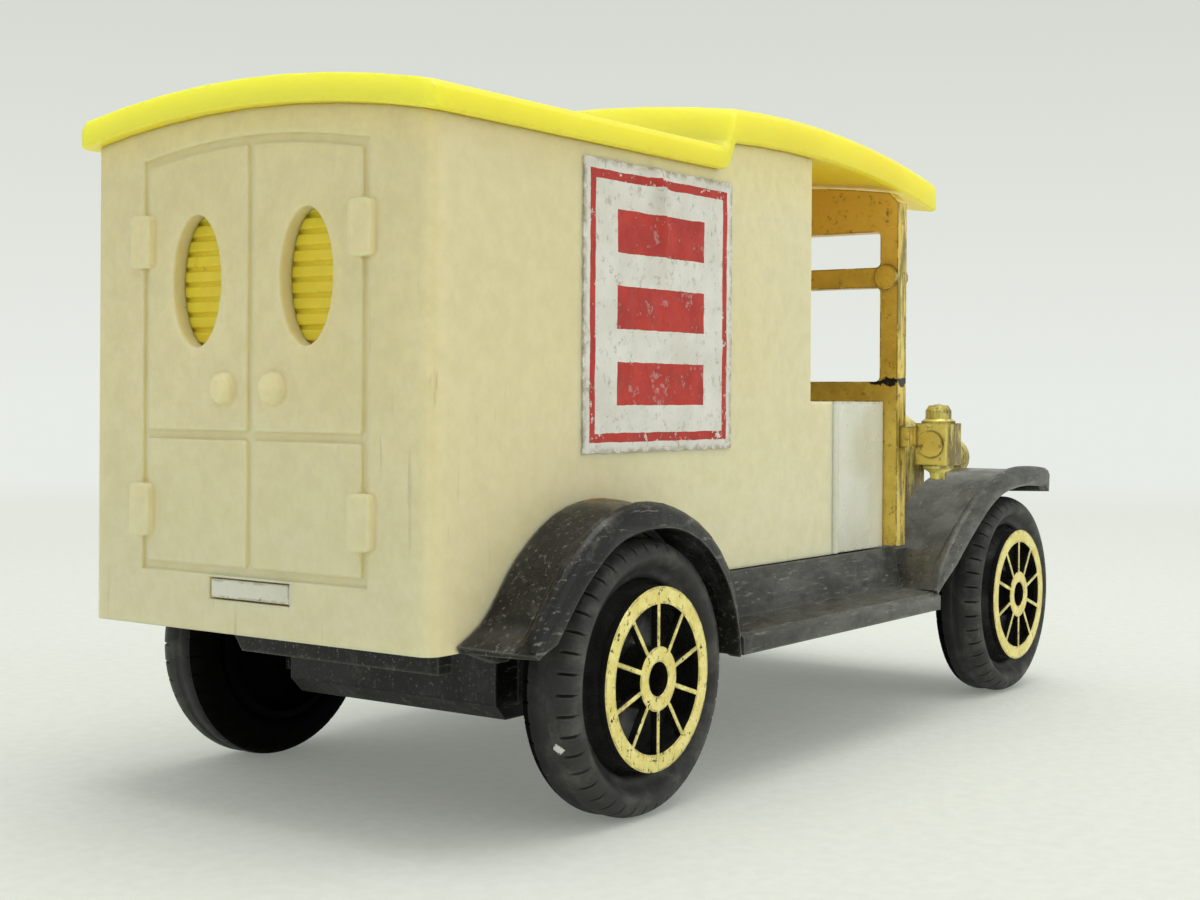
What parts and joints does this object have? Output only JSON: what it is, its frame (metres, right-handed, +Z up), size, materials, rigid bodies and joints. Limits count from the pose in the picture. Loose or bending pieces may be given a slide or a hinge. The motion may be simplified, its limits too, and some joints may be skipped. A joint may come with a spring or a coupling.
{
  "type": "toy delivery van",
  "caption": "Vintage-style toy delivery van with arched rear doors in relief, a raised cab roof, a plated windscreen frame, black wings and spoked wheels on two free axles.",
  "frame": {"origin": "centre of the bounding box in plan, on the ground under the wheels", "axes": "+X forward, +Y to the van's left, +Z up"},
  "size_m": [0.0806, 0.0362, 0.0452],
  "materials": {
    "cream_plastic": "satin moulded plastic",
    "yellow_plastic": "satin, slightly translucent plastic",
    "white_paint": "gloss paint on a zinc casting, chipped",
    "gold_plating": "plastic with tarnished gold plating",
    "black_plastic": "satin, scuffed",
    "wheel_foil": "black moulding with gold foil on its outer faces",
    "tyre_black": "matte, scuffed",
    "axle_steel": "drawn wire",
    "label_paper": "worn printed paper"
  },
  "bodies": {
    "van_body": {"van_box": "cream_plastic", "roof": "yellow_plastic", "rear_blind": "yellow_plastic", "body_casting": "white_paint", "windscreen_frame": "gold_plating", "radiator_shell": "gold_plating", "chassis": "black_plastic", "base_plate": "black_plastic", "bench_seat": "black_plastic", "steering_wheel": "black_plastic", "label_left": "label_paper", "label_right": "label_paper", "base_screw_front": "axle_steel", "base_screw_rear": "axle_steel"},
    "front_axle_set": {"front_axle": "axle_steel", "wheel_front_left": "wheel_foil", "wheel_front_right": "wheel_foil", "tyre_front_left": "tyre_black", "tyre_front_right": "tyre_black"},
    "rear_axle_set": {"rear_axle": "axle_steel", "wheel_rear_left": "wheel_foil", "wheel_rear_right": "wheel_foil", "tyre_rear_left": "tyre_black", "tyre_rear_right": "tyre_black"}
  },
  "joints": [
    {"name": "front_axle_spin", "type": "hinge", "parent": "van_body", "child": "front_axle_set", "pos_m": [0.03204, 0, 0.00822], "axis": [0, 1, 0], "continuous": true},
    {"name": "rear_axle_spin", "type": "hinge", "parent": "van_body", "child": "rear_axle_set", "pos_m": [-0.02336, 0, 0.00822], "axis": [0, 1, 0], "continuous": true}
  ]
}
